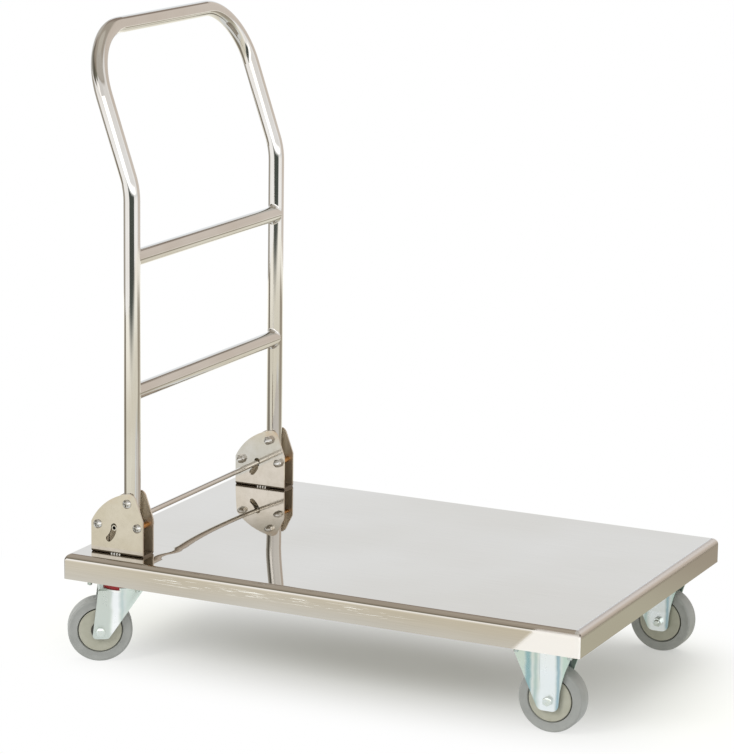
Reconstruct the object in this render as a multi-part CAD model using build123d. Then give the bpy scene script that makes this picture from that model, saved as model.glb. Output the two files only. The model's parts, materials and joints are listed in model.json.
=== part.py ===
from build123d import *
from math import asin, atan2, ceil, cos, hypot, pi, radians, sin, sqrt
import os

# Stainless platform trolley with a folding push handle, in millimetres.
# X runs along the deck with the handle at -X, Y across it with the near side at -Y, Z up from the floor.

# Deck: a pan folded from sheet, with skirts turned down on four sides and lips turned in below
deck_length = 853.0
deck_width = 575.0
deck_sheet = 2.0
skirt_depth = 39.0
deck_bend = 10.0
deck_corner = 3.0
skirt_lip = 12.0

# Channels welded under the deck: two across, which carry the casters, and two along
channel_sheet = 2.0
handle_lip_gap = 4.0
load_lip_gap = 7.0
cross_channel_width = 104.0
long_channel_width = 60.0
long_channel_depth = 30.0
long_channel_inset = 172.5

# Handle: one bent tube with two rungs, hinged at both feet
tube_d = 25.4
tube_wall = 1.5
rung_d = 25.0
handle_setback = 91.0
handle_inset = 53.5
handle_stub = 38.0
lower_rung_rise = 170.0
upper_rung_rise = 377.0
kink_rise = 483.0
handle_rise = 714.0
handle_lean = 79.4
kink_bend = 110.0
top_bend = 100.0

# Handle brackets: folded U channels that stand on the deck, measured from the tube's axis and the deck
bracket_sheet = 3.0
bracket_bend = 4.0
tube_side_gap = 1.3
cheek_back = 63.0
cheek_front = 27.5
cheek_height = 98.0
cheek_back_height = 48.0
cheek_crest = 3.0
cheek_crest_slope = 10.0
cheek_nose = 12.0
cheek_front_height = 56.0
cheek_nose_r = 12.0
cheek_front_r = 10.0
pivot_rise = 82.0
latch_back = 51.5
latch_rise = 44.5
stop_rise = 45.5

# Screws through the brackets, with domed heads outside and dome nuts inside
screw_d = 8.0
screw_head_d = 14.0
screw_head_h = 4.0
nut_flats = 13.0
nut_h = 6.5
dome_nut_h = 13.0

# Sleeves on the bracket screws
pivot_sleeve_d = 12.0
latch_sleeve_d = 12.0
stop_sleeve_d = 9.2

# Foot release: a hollow rod through curved slots in all four cheeks, carried by two latch arms
rod_d = 8.6
rod_bore = 5.6
rod_radius = 28.5
rod_angle = 6.5
release_travel = 20.0
slot_side_gap = 0.6
slot_lower_play = 20.7
slot_upper_play = 5.5
arm_thickness = 6.0
arm_pivot_r = 10.0
arm_rod_r = 6.0

# Torsion springs that lift the release rod
spring_wire = 1.6
spring_coil_r = 7.6
spring_pitch = 2.3
spring_turns = 3
spring_tail = 6.0
spring_gap_points = 400

# Casters, all of one height; the swivel pair stands under the handle and the fixed pair under the far end
caster_height = 135.0
caster_inset = 64.5
swivel_angle = 32.0
swivel_trail = 36.0
plate_length = 110.0
plate_width = 85.0
plate_sheet = 3.0
plate_corner = 10.0
plate_hole_d = 9.0
plate_hole_x = 84.0
plate_hole_y = 60.0
bolt_d = 8.0
bolt_head_h = 5.3
bolt_end_below_nut = 5.5

# Swivel head between plate and fork
swivel_head = 14.0
race_gap = 5.0
race_r = 27.0
ball_d = 6.0
ball_circle_r = 20.0
ball_count = 10
groove_half = 2.2
kingpin_d = 12.0
kingpin_head_d = 22.0
kingpin_head_h = 5.0
seal_width = 4.0
seal_h = 6.2

# Forks pressed from sheet
fork_sheet = 3.0
fork_gap = 36.0
swivel_boss_r = 12.5
swivel_boss_corner = 6.0
swivel_rear_lean = 9.3
swivel_crown_reach = 30.0
swivel_crown_r = 33.0
swivel_flat_share = 0.9
swivel_bulge = 7.0
bulge_from = 0.25
bulge_to = 0.65
bulge_edge = 0.1
crown_bevel = 2.5
fixed_boss_r = 15.5
fixed_boss_corner = 11.0
fixed_back_reach = 61.0
fixed_front_reach = 38.0
fixed_plate_back = 6.0
flute_half = 12.0
flute_slope = 3.5
flute_depth = 2.5
flute_run_in = 0.5
leg_levels = 4

# Wheels: rubber tyre on a plastic rim, closed by a thread guard disc on each side
wheel_d = 100.0
tyre_width = 29.0
tyre_shoulder = 3.0
rim_d = 68.0
rim_width = 24.0
rim_barrel = 4.0
rim_web = 8.0
hub_d = 28.0
hub_length = 34.0
bush_d = 20.0
spacer_d = 12.0
disc_d = 66.4
disc_thickness = 2.5
disc_chamfer = 0.8

# Clearances
hole_gap = 0.1
running_gap = 0.05
seat_gap = 0.02
stop_gap = 0.3
sweep_gap = 0.7
rest_gap = 0.3
groove_gap = 0.1
rod_end_inset = 1.0
cut_past = 1.0

# Heights and places that follow from the sizes above
deck_top = caster_height + skirt_depth
deck_under = deck_top - deck_sheet
plate_under = caster_height - plate_sheet
axle_z = wheel_d / 2
crown_top = plate_under - swivel_head
crown_under = crown_top - fork_sheet
race_under = crown_top + race_gap
web_under = plate_under - fork_sheet
fork_half = fork_gap / 2 + fork_sheet

long_channel_spread = deck_width - 2 * long_channel_inset
handle_spread = deck_width - 2 * handle_inset
caster_spread = deck_width - 2 * caster_inset

handle_x = -deck_length / 2 + handle_setback
handle_y = handle_spread / 2
pivot_z = deck_top + pivot_rise
bracket_half_gap = tube_d / 2 + tube_side_gap
bracket_half = bracket_half_gap + bracket_sheet

stop_x = tube_d / 2 + stop_sleeve_d / 2 + stop_gap
rod_x = -latch_back + rod_radius * cos(radians(rod_angle))
rod_rise = latch_rise - rod_radius * sin(radians(rod_angle))
stub_sweep_r = hypot(tube_d / 2, handle_stub)

swivel_inset = skirt_lip + handle_lip_gap + cross_channel_width / 2
fixed_inset = skirt_lip + load_lip_gap + cross_channel_width / 2 - fixed_plate_back
swivel_x = -deck_length / 2 + swivel_inset
fixed_x = deck_length / 2 - fixed_inset
caster_y = caster_spread / 2
fixed_plate_x = fixed_x - fixed_plate_back
sides = {"near": -1, "far": 1}


def cylinder_y(radius, length):
    """Cylinder along Y, centred on the origin."""
    return Rot(90, 0, 0) * Cylinder(radius, length)


def tube_y(outer_r, inner_r, length):
    """Sleeve along Y, centred on the origin."""
    return cylinder_y(outer_r, length) - cylinder_y(inner_r, length + 2 * cut_past)


def hexagon_z(flats, height):
    """Hexagonal prism standing on the XY plane."""
    return extrude(RegularPolygon(flats / 2, 6, major_radius=False), height)


def upright(sketch, y_from, y_to):
    """Extrudes a sketch drawn in X and Z from one Y to another."""
    return extrude(Plane.XZ.offset(-y_to) * sketch, y_to - y_from)


def group(solids):
    return Compound([piece.solid() for piece in solids])


def deck_pan():
    outer = Pos(0, 0, deck_top - skirt_depth / 2) * Box(deck_length, deck_width, skirt_depth)
    outer = fillet(outer.edges().filter_by(Axis.Z), deck_corner)
    outer = fillet(outer.faces().sort_by(Axis.Z)[-1].edges(), deck_bend)
    cavity_depth = skirt_depth - 2 * deck_sheet
    cavity = Pos(0, 0, deck_under - cavity_depth / 2) * Box(
        deck_length - 2 * deck_sheet, deck_width - 2 * deck_sheet, cavity_depth)
    cavity = fillet(cavity.faces().sort_by(Axis.Z)[-1].edges(), deck_bend - deck_sheet)
    mouth = Pos(0, 0, caster_height) * Box(
        deck_length - 2 * skirt_lip, deck_width - 2 * skirt_lip, 4 * deck_sheet)
    return outer - cavity - mouth


def channel(length, width, depth, along_x):
    """U channel, open upwards, hung from the deck's underside."""
    size_x, size_y = (length, width) if along_x else (width, length)
    inner_x = size_x if along_x else size_x - 2 * channel_sheet
    inner_y = size_y - 2 * channel_sheet if along_x else size_y
    body = Pos(0, 0, deck_under - depth / 2) * Box(size_x, size_y, depth)
    return body - Pos(0, 0, deck_under - depth / 2 + channel_sheet) * Box(inner_x, inner_y, depth)


def plate_holes(radius, height, z):
    """Four bolt holes of a caster plate, around the plate's centre."""
    return [Pos(px, py, z) * Cylinder(radius, height)
            for px in (-plate_hole_x / 2, plate_hole_x / 2)
            for py in (-plate_hole_y / 2, plate_hole_y / 2)]


def cross_channel(x):
    body = Pos(x, 0, 0) * channel(
        deck_width - 2 * skirt_lip, cross_channel_width, deck_under - caster_height, along_x=False)
    for side in sides.values():
        for hole in plate_holes(plate_hole_d / 2, 4 * channel_sheet, caster_height):
            body -= Pos(x, side * caster_y, 0) * hole
    return body


def long_channel(y):
    start = swivel_x + cross_channel_width / 2
    end = fixed_plate_x - cross_channel_width / 2
    return Pos((start + end) / 2, y, 0) * channel(
        end - start, long_channel_width, long_channel_depth, along_x=True)


def cheek_outline():
    """Side view of a bracket cheek: X from the tube's axis, height from the deck."""
    crest = (cheek_crest, cheek_height)
    shoulder = (-cheek_back, cheek_back_height)
    nose = (cheek_nose, cheek_height)
    brow = (cheek_front, cheek_front_height)
    fall = radians(cheek_crest_slope)
    edge = [
        TangentArc(crest, shoulder, tangent=(-cos(fall), -sin(fall))),
        Polyline(shoulder, (-cheek_back, 0), (cheek_front, 0), brow, nose, crest),
    ]
    face = make_face(edge)
    corner = face.vertices().sort_by_distance((*nose, 0))[0]
    face = fillet(corner, cheek_nose_r)
    corner = face.vertices().sort_by_distance((*brow, 0))[0]
    return fillet(corner, cheek_front_r)


def bracket(y):
    outline = cheek_outline()
    cheeks = upright(outline, -bracket_half, -bracket_half_gap)
    cheeks += upright(outline, bracket_half_gap, bracket_half)
    base_mid = (cheek_front - cheek_back) / 2
    base = Pos(base_mid, 0, bracket_sheet / 2) * Box(
        cheek_front + cheek_back, 2 * bracket_half, bracket_sheet)
    body = cheeks + base
    folds = body.edges().filter_by(Axis.X).group_by(Axis.Z)[0]
    body = fillet(folds, bracket_bend)
    hole = cylinder_y(screw_d / 2 + hole_gap, 4 * bracket_half)
    for x, z in screw_places():
        body -= Pos(x, 0, z) * hole
    first = -rod_angle - release_travel - slot_lower_play
    span = slot_lower_play + release_travel + slot_upper_play
    slot_line = CenterArc((-latch_back, latch_rise), rod_radius, first, span)
    body -= upright(SlotArc(slot_line, rod_d + 2 * slot_side_gap), -2 * bracket_half, 2 * bracket_half)
    return Pos(handle_x, y, deck_top) * body


def screw_places():
    """Pivot, latch and stop screws of a bracket, from the tube's axis and the deck."""
    return [(0, pivot_rise), (-latch_back, latch_rise), (stop_x, stop_rise)]


def bracket_screw():
    """Screw along Y with its domed head at -Y, centred between the cheeks."""
    crown_r = (screw_head_d ** 2 / 4 + screw_head_h ** 2) / (2 * screw_head_h)
    cap = Pos(0, 0, bracket_half + screw_head_h - crown_r) * Sphere(crown_r)
    head = cap & (Pos(0, 0, bracket_half + screw_head_h / 2) * Cylinder(screw_head_d / 2, screw_head_h))
    reach = bracket_half + nut_h
    shank = Pos(0, 0, (bracket_half - reach) / 2) * Cylinder(screw_d / 2, bracket_half + reach)
    return Rot(90, 0, 0) * (head + shank)


def dome_nut():
    """Dome nut that closes the screw at +Y."""
    dome_r = nut_flats / 2
    body = hexagon_z(nut_flats, nut_h)
    skirt_h = dome_nut_h - nut_h - dome_r
    if skirt_h > 0:
        body += Pos(0, 0, nut_h + skirt_h / 2) * Cylinder(dome_r, skirt_h)
    cap = Pos(0, 0, dome_nut_h - dome_r) * Sphere(dome_r)
    body += cap & (Pos(0, 0, dome_nut_h) * Box(4 * dome_r, 4 * dome_r, 2 * (dome_nut_h - nut_h)))
    body -= Cylinder(screw_d / 2 + seat_gap, 2 * (nut_h + rest_gap))
    return Pos(0, bracket_half, 0) * Rot(-90, 0, 0) * body


def on_brackets(make, places):
    """Copies a piece to the given places of both brackets, turned to face outwards on each."""
    copies = []
    for side in sides.values():
        turn = Rot(0, 0, 0 if side < 0 else 180)
        for x, z in places:
            copies.append(Pos(handle_x + x, side * handle_y, deck_top + z) * turn * make())
    return group(copies)


def sleeves(diameter, end_gap, place):
    """Sleeve round one screw of each bracket, between the cheeks."""
    length = 2 * (bracket_half_gap - end_gap)
    return on_brackets(lambda: tube_y(diameter / 2, screw_d / 2 + running_gap, length), [place])


def handle_path():
    half = handle_y
    top_x = handle_x - handle_lean
    corners = [
        (handle_x, -half, pivot_z - handle_stub),
        (handle_x, -half, pivot_z + kink_rise),
        (top_x, -half, pivot_z + handle_rise),
        (top_x, half, pivot_z + handle_rise),
        (handle_x, half, pivot_z + kink_rise),
        (handle_x, half, pivot_z - handle_stub),
    ]
    return FilletPolyline(*corners, radius=[kink_bend, top_bend, top_bend, kink_bend])


def handle_tube():
    path = handle_path()
    start = Plane(path @ 0, z_dir=path % 0)
    body = sweep(start * Circle(tube_d / 2), path=path)
    body -= sweep(start * Circle(tube_d / 2 - tube_wall), path=path)
    pivot_hole = cylinder_y(pivot_sleeve_d / 2 + seat_gap, 2 * tube_d)
    for side in sides.values():
        body -= Pos(handle_x, side * handle_y, pivot_z) * pivot_hole
    return body


def rung(rise):
    body = tube_y(rung_d / 2, rung_d / 2 - tube_wall, handle_spread)
    for side in sides.values():
        body -= Pos(0, side * handle_y, 0) * Cylinder(tube_d / 2 + seat_gap, 2 * rung_d)
    return Pos(handle_x, 0, pivot_z + rise) * body


def latch_arm(y):
    """Link that turns on the latch sleeve and holds the rod, clear of the tube's foot as it swings."""
    boss = Pos(-latch_back, latch_rise) * Circle(arm_pivot_r)
    eye = Pos(rod_x, rod_rise) * Circle(arm_rod_r)
    lean = atan2(rod_rise - latch_rise, rod_x + latch_back)
    spread = asin((arm_pivot_r - arm_rod_r) / rod_radius)
    ends = []
    for sign in (1, -1):
        angle = lean + sign * (pi / 2 - spread)
        ends.append((-latch_back + arm_pivot_r * cos(angle), latch_rise + arm_pivot_r * sin(angle)))
        ends.append((rod_x + arm_rod_r * cos(angle), rod_rise + arm_rod_r * sin(angle)))
    web = make_face(Polyline(ends[0], ends[1], ends[3], ends[2], close=True))
    sketch = boss + eye + web
    sketch -= Pos(0, pivot_rise) * Circle(stub_sweep_r + sweep_gap)
    sketch -= Pos(-latch_back, latch_rise) * Circle(latch_sleeve_d / 2 + running_gap)
    sketch -= Pos(rod_x, rod_rise) * Circle(rod_d / 2 + seat_gap)
    return Pos(handle_x, y, deck_top) * upright(sketch, -arm_thickness / 2, arm_thickness / 2)


def release_rod():
    length = 2 * (handle_y + bracket_half - rod_end_inset)
    return Pos(handle_x + rod_x, 0, deck_top + rod_rise) * tube_y(rod_d / 2, rod_bore / 2, length)


def biarc(start, start_dir, end, end_dir):
    """Two arcs that join two points with the given directions."""
    chord = end - start
    lean = start_dir + end_dir
    bend = 2 * (1 - start_dir.dot(end_dir))
    along = chord.dot(lean)
    reach = (sqrt(along * along + bend * chord.dot(chord)) - along) / bend
    middle = (start + start_dir * reach + end - end_dir * reach) * 0.5
    first = TangentArc(start, middle, tangent=start_dir)
    return [first, TangentArc(middle, end, tangent=first % 1)]


def spring_path():
    """Foot on the bracket's base, coils round the latch sleeve, tail under the rod; Y from the arm's face."""
    centre_x, centre_z = -latch_back, latch_rise
    below_rod = rod_d / 2 + spring_wire / 2 + rest_gap
    tail_angle = -radians(rod_angle) + asin((spring_coil_r - below_rod) / rod_radius)
    sweep_angle = 2 * pi * spring_turns + 2 * pi - (pi / 2 - tail_angle)
    steps = ceil(sweep_angle / (pi / 2))
    rise = spring_pitch / (2 * pi)

    def place(turn):
        return Vector(centre_x + spring_coil_r * cos(turn), rise * turn, centre_z + spring_coil_r * sin(turn))

    def heading(turn):
        return Vector(-spring_coil_r * sin(turn), rise, spring_coil_r * cos(turn)).normalized()

    turns = [sweep_angle * step / steps for step in range(steps + 1)]
    headings = [heading(turn) for turn in turns]
    headings[0] = Vector(0, 0, 1)
    headings[-1] = Vector(cos(tail_angle), 0, sin(tail_angle))
    foot = Vector(centre_x + spring_coil_r, 0, bracket_sheet + spring_wire / 2 + rest_gap)
    edges = [Line(foot, place(0))]
    for step in range(steps):
        edges += biarc(place(turns[step]), headings[step], place(turns[step + 1]), headings[step + 1])
    tail_start = place(sweep_angle)
    edges.append(Line(tail_start, tail_start + headings[-1] * (rod_radius + spring_tail)))
    coil_points = [place(sweep_angle * step / spring_gap_points) for step in range(spring_gap_points + 1)]
    half_turn = ceil(spring_gap_points * pi / sweep_angle)
    least = min((a - b).length for i, a in enumerate(coil_points) for b in coil_points[i + half_turn:])
    print(f"return spring: least gap between turns {least - spring_wire:.2f} mm")
    return Wire(edges)


def return_spring():
    path = spring_path()
    start = Plane(path @ 0, z_dir=path % 0)
    return sweep(start * Circle(spring_wire / 2), path=path)


def return_springs():
    first_y = arm_thickness / 2 + spring_wire / 2 + rest_gap
    spring = return_spring()
    copies = []
    for side in sides.values():
        placed = Pos(0, first_y, 0) * spring
        if side > 0:
            placed = mirror(placed, about=Plane.XZ)
        copies.append(Pos(handle_x, side * handle_y, deck_top) * placed)
    return group(copies)


def caster_plate():
    """Mounting plate with four holes, around the plate's centre."""
    sketch = RectangleRounded(plate_length, plate_width, plate_corner)
    body = Pos(0, 0, plate_under) * extrude(sketch, plate_sheet)
    for hole in plate_holes(plate_hole_d / 2, 4 * plate_sheet, plate_under):
        body -= hole
    return body


def ball_groove(z, up):
    """Ring groove for the balls, cut into a flat at height z."""
    depth = (ball_d - race_gap) / 2 + groove_gap
    base = z if up else z - depth
    ring = Cylinder(ball_circle_r + groove_half, depth) - Cylinder(ball_circle_r - groove_half, depth)
    return Pos(0, 0, base + depth / 2) * ring


def swivel_plate():
    """Plate with the upper ball race pressed out below it, around the kingpin."""
    race_h = plate_under - race_under
    race = Pos(0, 0, race_under + race_h / 2) * Cylinder(race_r, race_h)
    body = caster_plate() + race - ball_groove(race_under, up=True)
    return body - Pos(0, 0, plate_under) * Cylinder(kingpin_d / 2 + seat_gap, 4 * swivel_head)


def kingpin():
    head_top = crown_under - rest_gap
    shaft_h = caster_height - head_top
    shaft = Pos(0, 0, head_top + shaft_h / 2) * Cylinder(kingpin_d / 2, shaft_h)
    return shaft + Pos(0, 0, head_top - kingpin_head_h / 2) * Cylinder(kingpin_head_d / 2, kingpin_head_h)


def swivel_seal():
    ring = Cylinder(race_r + seal_width, seal_h) - Cylinder(race_r + seat_gap, seal_h)
    return Pos(0, 0, crown_top + rest_gap + seal_h / 2) * ring


def race_balls():
    z = (crown_top + race_under) / 2
    return [loc * Sphere(ball_d / 2) for loc in Pos(0, 0, z) * PolarLocations(ball_circle_r, ball_count)]


def s_curve(start, end):
    """Two arcs that leave and arrive along X, or two straight halves where nothing rises."""
    middle = (start + end) * 0.5
    if start.Y == end.Y:
        return [Line(start, middle), Line(middle, end)]
    first = TangentArc(start, middle, tangent=Vector(1, 0, 0))
    return [first, TangentArc(middle, end, tangent=first % 1)]


def leg_line(points, z, side):
    """Edges of a pressed leg at a height: every second span is a shoulder, the others are flat."""
    places = [Vector(x, side * offset, z) for x, offset in points]
    edges = []
    for index, (start, end) in enumerate(zip(places, places[1:])):
        edges += s_curve(start, end) if index % 2 else [Line(start, end)]
    return edges


def leg_section(points, z, side):
    """Flat section of a pressed leg: the outer line in X and offset, thickened inwards by the sheet."""
    inner = [(x, offset - fork_sheet) for x, offset in points]
    caps = [Line((x, side * offset, z), (x, side * (offset - fork_sheet), z))
            for x, offset in (points[0], points[-1])]
    return make_face([*leg_line(points, z, side), *caps, *leg_line(inner, z, side)])


def across_legs(points, z):
    """Face between the outer lines of both legs at a height."""
    caps = [Line((x, -offset, z), (x, offset, z)) for x, offset in (points[0], points[-1])]
    return make_face([*leg_line(points, z, -1), *caps, *leg_line(points, z, 1)])


def leg_foot(left_low, right_low, left_top, right_top, top_z, boss_r, corner, side):
    """Lower end of a fork leg, flat, with rounded corners below the axle."""
    low = axle_z - boss_r
    face = make_face(Polyline(
        (left_low, low), (right_low, low), (right_top, top_z), (left_top, top_z), close=True))
    corners = face.vertices().sort_by(Axis.Y)[:2]
    face = fillet(corners, corner)
    near, far = sorted((side * fork_gap / 2, side * fork_half))
    return upright(face, near, far)


def swivel_leg_line(z, foot_z):
    """Outer line of the swivel fork's leg at a height: flat at the rear, bulged under the crown."""
    low = axle_z - swivel_boss_r
    rear = -swivel_trail - swivel_boss_r + swivel_rear_lean * (z - low) / (crown_under - low)
    front_top = swivel_crown_reach
    front_low = -swivel_trail + swivel_boss_r
    front = front_low + (front_top - front_low) * (z - low) / (crown_under - low)
    flat_end = -swivel_trail + swivel_boss_r * swivel_flat_share
    bulge = swivel_bulge * ((z - foot_z) / (crown_under - foot_z)) ** 2
    first = flat_end + bulge_from * (front - flat_end)
    last = flat_end + bulge_to * (front - flat_end)
    return [(rear, fork_half), (flat_end, fork_half), (first, fork_half + bulge),
            (last, fork_half + bulge), (front, fork_half + bulge_edge * bulge)]


def swivel_fork():
    """Swivel fork around its kingpin, with the axle trailing at -X."""
    foot_z = axle_z + swivel_boss_r
    levels = [foot_z + (crown_under - foot_z) * step / leg_levels for step in range(leg_levels + 1)]
    lines = [swivel_leg_line(z, foot_z) for z in levels]
    low = lines[-1]
    high = [(x - crown_bevel if x > 0 else x + crown_bevel, offset - crown_bevel) for x, offset in low]
    lid = loft([across_legs(low, crown_under), across_legs(high, crown_top)], ruled=True)
    body = lid + Pos(0, 0, (crown_under + crown_top) / 2) * Cylinder(swivel_crown_r, fork_sheet)
    for side in sides.values():
        body += loft([leg_section(line, z, side) for line, z in zip(lines, levels)], ruled=True)
        body += leg_foot(-swivel_trail - swivel_boss_r, -swivel_trail + swivel_boss_r, lines[0][0][0],
                         lines[0][-1][0], foot_z, swivel_boss_r, swivel_boss_corner, side)
    body -= ball_groove(crown_top, up=False)
    body -= Pos(0, 0, crown_top) * Cylinder(kingpin_d / 2 + running_gap, 4 * fork_sheet)
    return body - Pos(-swivel_trail, 0, axle_z) * cylinder_y(bolt_d / 2 + hole_gap, 4 * fork_half)


def fixed_leg_line(z, foot_z):
    """Outer line of the fixed fork's leg at a height, with a raised flute down its middle."""
    low = axle_z - fixed_boss_r
    share = (z - low) / (web_under - low)
    back = -fixed_boss_r + (fixed_boss_r - fixed_back_reach) * share
    front = fixed_boss_r + (fixed_front_reach - fixed_boss_r) * share ** 2
    raised = flute_depth * min(1.0, (z - foot_z) / (web_under - foot_z) / flute_run_in)
    root = flute_half + flute_slope
    return [(back, fork_half), (-root, fork_half), (-flute_half, fork_half + raised),
            (flute_half, fork_half + raised), (root, fork_half), (front, fork_half)]


def fixed_fork():
    """Fixed fork around its axle's X."""
    foot_z = axle_z + fixed_boss_r
    levels = [foot_z + (web_under - foot_z) * step / leg_levels for step in range(leg_levels + 1)]
    lines = [fixed_leg_line(z, foot_z) for z in levels]
    body = extrude(across_legs(lines[-1], web_under), fork_sheet, dir=(0, 0, 1))
    for side in sides.values():
        body += loft([leg_section(line, z, side) for line, z in zip(lines, levels)], ruled=True)
        body += leg_foot(-fixed_boss_r, fixed_boss_r, lines[0][0][0], lines[0][-1][0], foot_z,
                         fixed_boss_r, fixed_boss_corner, side)
    return body - Pos(0, 0, axle_z) * cylinder_y(bolt_d / 2 + hole_gap, 4 * fork_half)


def axle_bolt():
    """Axle bolt along Y with its head at -Y, on the wheel's axis."""
    reach = fork_half + nut_h + bolt_end_below_nut / 2
    shank = Pos(0, 0, (fork_half - reach) / 2) * Cylinder(bolt_d / 2, fork_half + reach)
    head = Pos(0, 0, fork_half) * hexagon_z(nut_flats, bolt_head_h)
    return Rot(90, 0, 0) * (shank + head)


def axle_nut():
    nut = hexagon_z(nut_flats, nut_h) - Cylinder(bolt_d / 2 + seat_gap, 4 * nut_h)
    return Pos(0, fork_half, 0) * Rot(-90, 0, 0) * nut


def axle_spacer():
    return tube_y(spacer_d / 2, bolt_d / 2 + hole_gap, fork_gap)


def tyre():
    body = Cylinder(wheel_d / 2, tyre_width)
    body = fillet(body.edges().filter_by(GeomType.CIRCLE), tyre_shoulder)
    return Rot(90, 0, 0) * (body - Cylinder(rim_d / 2 + seat_gap, 2 * tyre_width))


def rim():
    """Barrel, web and hub turned about Y."""
    barrel_r = rim_d / 2 - rim_barrel
    half = [(bush_d / 2 + seat_gap, hub_length / 2), (hub_d / 2, hub_length / 2), (hub_d / 2, rim_web / 2),
            (barrel_r, rim_web / 2), (barrel_r, rim_width / 2), (rim_d / 2, rim_width / 2)]
    points = half + [(r, -w) for r, w in reversed(half)]
    profile = make_face(Polyline(*[(r, w, 0) for r, w in points], close=True))
    return revolve(profile, Axis.Y)


def guard_disc(side):
    """Thread guard that lies on the rim's barrel and leaves a thin ring gap inside the tyre."""
    start = rim_width / 2
    half = [(hub_d / 2 + rest_gap, start), (hub_d / 2 + rest_gap, start + disc_thickness),
            (disc_d / 2 - disc_chamfer, start + disc_thickness),
            (disc_d / 2, start + disc_thickness - disc_chamfer), (disc_d / 2, start)]
    profile = make_face(Polyline(*[(r, side * w, 0) for r, w in half], close=True))
    return revolve(profile, Axis.Y)


def wheel_bush():
    return tube_y(bush_d / 2, spacer_d / 2 + running_gap, hub_length)


def caster_bolt():
    """Bolt from inside the channel down through the caster plate."""
    end = plate_under - nut_h - bolt_end_below_nut
    seat = caster_height + channel_sheet
    shank = Pos(0, 0, (seat + end) / 2) * Cylinder(bolt_d / 2, seat - end)
    return shank + Pos(0, 0, seat) * hexagon_z(nut_flats, bolt_head_h)


def caster_nut():
    nut = hexagon_z(nut_flats, nut_h) - Cylinder(bolt_d / 2 + seat_gap, 4 * nut_h)
    return Pos(0, 0, plate_under - nut_h) * nut


def on_plates(make):
    """Copies a fastener to the four holes of all four caster plates."""
    copies = []
    for x in (swivel_x, fixed_plate_x):
        for side in sides.values():
            for px in (-plate_hole_x / 2, plate_hole_x / 2):
                for py in (-plate_hole_y / 2, plate_hole_y / 2):
                    copies.append(Pos(x + px, side * caster_y + py, 0) * make())
    return group(copies)


def swivel_place(side):
    """Frame of a swivel caster: its kingpin, turned so that the wheels splay outwards."""
    return Pos(swivel_x, side * caster_y, 0) * Rot(0, 0, -side * swivel_angle)


def facing(side):
    """Turns a piece with its head at -Y so that the head faces away from the middle of the deck."""
    return Rot(0, 0, 0 if side < 0 else 180)


def wheel_nodes(name, place):
    return {
        f"{name}_tyre": place * tyre(),
        f"{name}_rim": place * rim(),
        f"{name}_discs": group([place * guard_disc(-1), place * guard_disc(1)]),
        f"{name}_bush": place * wheel_bush(),
    }


def build_nodes():
    nodes = {
        "deck_pan": deck_pan(),
        "handle_end_channel": cross_channel(swivel_x),
        "load_end_channel": cross_channel(fixed_plate_x),
        "handle_tube": handle_tube(),
        "upper_rung": rung(upper_rung_rise),
        "lower_rung": rung(lower_rung_rise),
        "release_rod": release_rod(),
        "return_springs": return_springs(),
        "bracket_screws": on_brackets(bracket_screw, screw_places()),
        "bracket_nuts": on_brackets(dome_nut, screw_places()),
        "caster_bolts": on_plates(caster_bolt),
        "caster_nuts": on_plates(caster_nut),
    }
    pivot, latch, stop = screw_places()
    nodes["pivot_sleeves"] = sleeves(pivot_sleeve_d, rest_gap, pivot)
    nodes["latch_sleeves"] = sleeves(latch_sleeve_d, 0, latch)
    nodes["stop_sleeves"] = sleeves(stop_sleeve_d, 0, stop)

    kingpins = []
    balls = []
    seals = []
    fixed_axles = []
    fixed_nuts = []
    fixed_spacers = []
    for label, side in sides.items():
        nodes[f"{label}_long_channel"] = long_channel(side * long_channel_spread / 2)
        nodes[f"{label}_bracket"] = bracket(side * handle_y)
        nodes[f"{label}_latch_arm"] = latch_arm(side * handle_y)

        stand = Pos(swivel_x, side * caster_y, 0)
        swivel = swivel_place(side)
        axle = swivel * Pos(-swivel_trail, 0, axle_z)
        nodes[f"{label}_swivel_plate"] = stand * swivel_plate()
        nodes[f"{label}_swivel_fork"] = swivel * swivel_fork()
        nodes[f"{label}_swivel_axle"] = axle * facing(side) * axle_bolt()
        nodes[f"{label}_swivel_axle_nut"] = axle * facing(side) * axle_nut()
        nodes[f"{label}_swivel_spacer"] = axle * axle_spacer()
        nodes.update(wheel_nodes(f"{label}_swivel", axle))
        kingpins.append(stand * kingpin())
        seals.append(stand * swivel_seal())
        balls += [stand * ball for ball in race_balls()]

        axle = Pos(fixed_x, side * caster_y, axle_z)
        nodes[f"{label}_fixed_plate"] = Pos(fixed_plate_x, side * caster_y, 0) * caster_plate()
        nodes[f"{label}_fixed_fork"] = Pos(fixed_x, side * caster_y, 0) * fixed_fork()
        nodes.update(wheel_nodes(f"{label}_fixed", axle))
        fixed_axles.append(axle * facing(side) * axle_bolt())
        fixed_nuts.append(axle * facing(side) * axle_nut())
        fixed_spacers.append(axle * axle_spacer())

    nodes["kingpins"] = group(kingpins)
    nodes["swivel_balls"] = group(balls)
    nodes["swivel_seals"] = group(seals)
    nodes["fixed_axles"] = group(fixed_axles)
    nodes["fixed_axle_nuts"] = group(fixed_nuts)
    nodes["fixed_spacers"] = group(fixed_spacers)
    return nodes


def middle_x(nodes):
    """Middle of the whole trolley along X, with the trailing wheels counted in."""
    boxes = [node.bounding_box() for node in nodes.values()]
    return (min(box.min.X for box in boxes) + max(box.max.X for box in boxes)) / 2


nodes = build_nodes()
frame_x = -middle_x(nodes)
os.makedirs("parts", exist_ok=True)
for name, node in nodes.items():
    export_step(Pos(frame_x, 0, 0) * node, f"parts/{name}.step")
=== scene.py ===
import json
import math
import bmesh
import bpy
from mathutils import Matrix, Vector


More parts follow.
